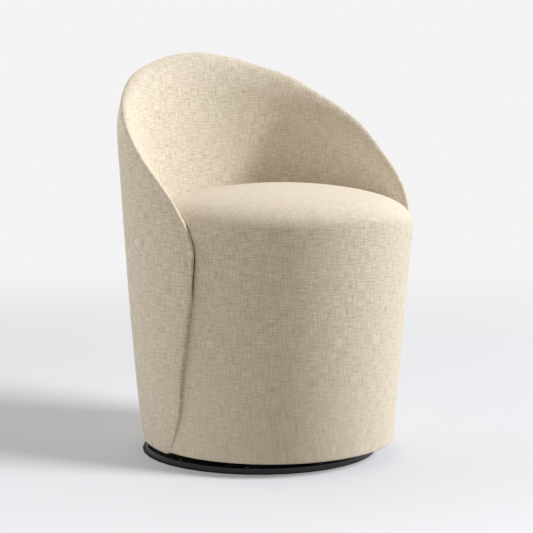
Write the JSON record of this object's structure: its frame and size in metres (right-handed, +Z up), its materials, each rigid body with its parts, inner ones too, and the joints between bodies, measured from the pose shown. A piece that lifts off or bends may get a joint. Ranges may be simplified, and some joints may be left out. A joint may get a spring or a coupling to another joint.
{
  "type": "swivel barrel chair",
  "caption": "Upholstered barrel chair with a sloping wrap-round back and a round drum front, turning on a flat ball bearing over a low black disc base.",
  "frame": {"origin": "on the floor under the swivel axis, at the middle of the floor pad's underside", "axes": "+Z up along the swivel axis, -Y towards the front of the seat, +X to the right as seen from the front"},
  "size_m": [0.558, 0.5622, 0.77],
  "materials": {
    "linen": "natural oatmeal linen-look weave with slubs, matt",
    "foam": "open cell upholstery foam",
    "wadding": "soft white polyester wadding",
    "birch_plywood": "raw sanded birch plywood",
    "pine": "raw planed pine",
    "black_cloth": "thin black non-woven dust cloth",
    "black_steel": "black powder coat, satin",
    "zinc_steel": "zinc plated, dull grey",
    "ball_steel": "polished bearing steel",
    "nylon": "natural nylon",
    "rubber": "matt black rubber"
  },
  "bodies": {
    "base": {"floor_pad": "rubber", "base_disc": "black_steel", "rim_screw_1": "black_steel", "rim_screw_2": "black_steel", "rim_screw_3": "black_steel", "rim_screw_4": "black_steel", "rim_screw_5": "black_steel", "rim_screw_6": "black_steel", "rim_screw_7": "black_steel", "rim_screw_8": "black_steel", "rim_screw_9": "black_steel", "rim_screw_10": "black_steel", "swivel_lower_plate": "zinc_steel", "lower_plate_screw_1": "zinc_steel", "lower_plate_screw_2": "zinc_steel", "lower_plate_screw_3": "zinc_steel", "lower_plate_screw_4": "zinc_steel", "pivot_bolt": "zinc_steel", "pivot_washer": "zinc_steel", "pivot_nut": "zinc_steel"},
    "cage": {"ball_cage": "nylon", "bearing_ball_1": "ball_steel", "bearing_ball_2": "ball_steel", "bearing_ball_3": "ball_steel", "bearing_ball_4": "ball_steel", "bearing_ball_5": "ball_steel", "bearing_ball_6": "ball_steel", "bearing_ball_7": "ball_steel", "bearing_ball_8": "ball_steel", "bearing_ball_9": "ball_steel", "bearing_ball_10": "ball_steel", "bearing_ball_11": "ball_steel", "bearing_ball_12": "ball_steel"},
    "chair": {"swivel_upper_plate": "zinc_steel", "pivot_bush": "nylon", "upper_plate_screw_1": "zinc_steel", "upper_plate_screw_2": "zinc_steel", "upper_plate_screw_3": "zinc_steel", "upper_plate_screw_4": "zinc_steel", "bottom_board": "birch_plywood", "seat_board": "birch_plywood", "post_1": "pine", "post_2": "pine", "post_3": "pine", "post_4": "pine", "drum_panel": "birch_plywood", "back_shell": "birch_plywood", "back_screw_low_left": "zinc_steel", "back_screw_low_right": "zinc_steel", "back_screw_high_left": "zinc_steel", "back_screw_high_right": "zinc_steel", "front_wadding": "wadding", "seat_foam": "foam", "seat_cover": "linen", "back_wadding": "wadding", "back_foam": "foam", "inner_back_cover": "linen", "outer_back_cover": "linen", "dust_cloth": "black_cloth"}
  },
  "joints": [
    {"name": "swivel", "type": "hinge", "parent": "base", "child": "chair", "pos_m": [0, 0, 0], "axis": [0, 0, 1], "continuous": true},
    {"name": "cage_roll", "type": "hinge", "parent": "base", "child": "cage", "pos_m": [0, 0, 0], "axis": [0, 0, 1], "continuous": true}
  ],
  "couplings": [
    {"joint": "cage_roll", "follows": "swivel", "ratio": 0.5}
  ]
}
